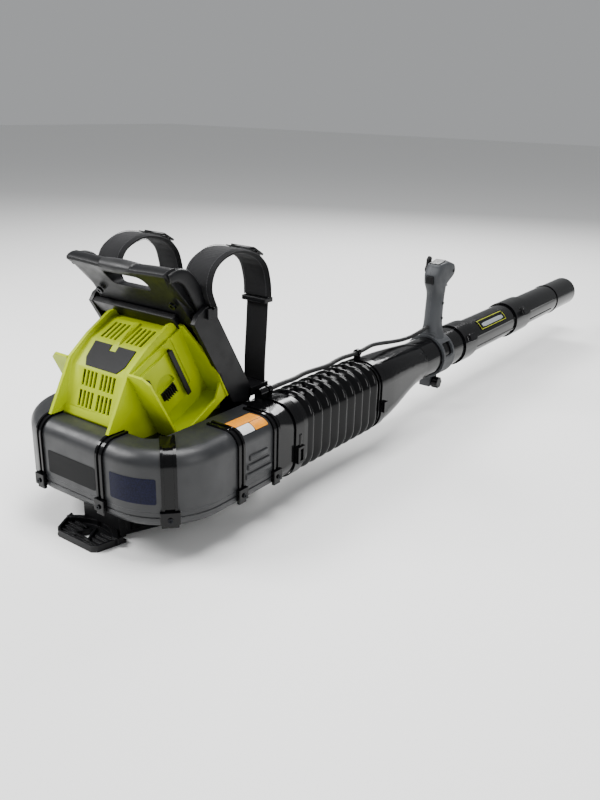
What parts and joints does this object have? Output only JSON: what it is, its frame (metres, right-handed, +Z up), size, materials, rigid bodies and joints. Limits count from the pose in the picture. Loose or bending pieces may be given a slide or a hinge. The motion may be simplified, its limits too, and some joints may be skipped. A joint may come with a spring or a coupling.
{
  "type": "backpack leaf blower",
  "caption": "Battery backpack leaf blower: scroll fan housing with motor pod and battery bays, shoulder harness, and a jointed blower tube with pistol grip.",
  "frame": {"origin": "on the floor, under the fan's axis", "axes": "+Z up, +Y the way the blower tube points, +X the wearer's right, the tube's side"},
  "size_m": [0.375, 1.649, 0.4183],
  "materials": {
    "charcoal_shell": "satin, finely textured",
    "black_gloss": "gloss, straight from a polished mould",
    "black_matte": "matte, textured",
    "lime_shell": "semi-gloss",
    "grey_grip": "matte",
    "harness_fabric": "woven nylon",
    "rubber_black": "matte",
    "steel_screw": "turned",
    "steel_core": "laminated",
    "copper_wire": "enamelled copper wire",
    "aluminium_bare": "extruded",
    "board_green": "solder mask",
    "badge_face": "printed film, left blank",
    "fan_nylon": "glass-filled nylon"
  },
  "bodies": {
    "chassis": {"scroll_upper_shell": "charcoal_shell", "scroll_lower_shell": "charcoal_shell", "rib_bands": "black_gloss", "case_screws": "steel_screw", "intake_guard": "black_matte", "motor_mount": "black_matte", "motor_cap": "black_matte", "motor_stator": "steel_core", "motor_windings": "copper_wire", "motor_bearings": "steel_screw", "controller_board": "board_green", "heat_sink": "aluminium_bare", "pod_shell": "lime_shell", "front_badge": "badge_face", "battery_bay_right": "lime_shell", "battery_bay_left": "lime_shell", "battery_rails": "black_matte", "terminal_blocks": "black_matte", "base_plate": "black_matte", "foot_pad": "black_matte", "rubber_feet": "rubber_black", "back_frame": "black_matte", "carry_handle": "black_matte", "handle_grip": "black_matte", "shoulder_strap_right": "harness_fabric", "shoulder_strap_left": "harness_fabric", "strap_webbing": "harness_fabric", "strap_buckles": "black_matte", "strap_anchors": "black_matte", "back_pad": "harness_fabric", "outlet_cuff": "black_gloss", "hose_clamp_rear": "black_gloss", "control_cable_rear": "rubber_black"},
    "fan": {"impeller": "fan_nylon", "motor_rotor": "steel_core", "motor_shaft": "steel_screw", "impeller_nut": "steel_screw"},
    "bellows_mid": {"bellows": "black_gloss", "control_cable_middle": "rubber_black"},
    "blower_tube": {"front_cuff": "black_gloss", "hose_clamp_front": "black_gloss", "transition_tube": "black_gloss", "control_cable_front": "rubber_black"},
    "handle": {"handle_clamp_upper": "grey_grip", "handle_clamp_lower": "grey_grip", "clamp_bolt": "steel_screw", "grip_shell_right": "grey_grip", "grip_shell_left": "grey_grip", "trigger_pin": "steel_screw", "head_panel": "black_matte", "grip_screws": "steel_screw", "trigger_switch": "black_matte"},
    "trigger": {"trigger": "black_matte"},
    "boost_button": {"boost_button": "black_matte"},
    "cruise_lever": {"cruise_lever": "black_matte"},
    "clamp_knob": {"clamp_knob": "black_matte"},
    "middle_tube": {"middle_tube": "black_gloss", "tube_label": "badge_face"},
    "nozzle": {"nozzle_tube": "black_gloss"}
  },
  "joints": [
    {"name": "fan_spin", "type": "hinge", "parent": "chassis", "child": "fan", "pos_m": [0, 0, 0.09], "axis": [0, 0, 1], "continuous": true},
    {"name": "tube_swing", "type": "hinge", "parent": "chassis", "child": "bellows_mid", "pos_m": [0.148, 0.206, 0.11], "axis": [0, 0, 1], "range_deg": [-20, 20], "deforming": ["bellows", "control_cable_rear"]},
    {"name": "tube_lift", "type": "hinge", "parent": "bellows_mid", "child": "blower_tube", "pos_m": [0.148, 0.316, 0.11], "axis": [1, 0, 0], "range_deg": [-10, 20], "deforming": ["control_cable_middle"]},
    {"name": "handle_turn", "type": "hinge", "parent": "blower_tube", "child": "handle", "pos_m": [0.148, 0.658, 0.124], "axis": [0, 1, 0], "range_deg": [-20, 20], "deforming": ["control_cable_front"]},
    {"name": "trigger_pull", "type": "hinge", "parent": "handle", "child": "trigger", "pos_m": [0.148, 0.68, 0.27], "axis": [-1, 0, 0], "range_deg": [0, 8], "stiffness_Nm_per_rad": 0.8, "springref_deg": -5.73},
    {"name": "boost_press", "type": "slide", "parent": "handle", "child": "boost_button", "axis": [0, 1, 0], "range_m": [0, 0.002], "stiffness_N_per_m": 600, "springref_m": -0.002},
    {"name": "cruise_turn", "type": "hinge", "parent": "handle", "child": "cruise_lever", "pos_m": [0.13, 0.66, 0.302], "axis": [1, 0, 0], "range_deg": [0, 60]},
    {"name": "knob_turn", "type": "hinge", "parent": "handle", "child": "clamp_knob", "pos_m": [0.166, 0.658, 0.064], "axis": [1, 0, 0], "continuous": true},
    {"name": "middle_twist", "type": "hinge", "parent": "blower_tube", "child": "middle_tube", "pos_m": [0.148, 0.745, 0.124], "axis": [0, 1, 0], "range_deg": [0, 25]},
    {"name": "nozzle_twist", "type": "hinge", "parent": "middle_tube", "child": "nozzle", "pos_m": [0.148, 1.055, 0.124], "axis": [0, 1, 0], "range_deg": [0, 25]}
  ]
}
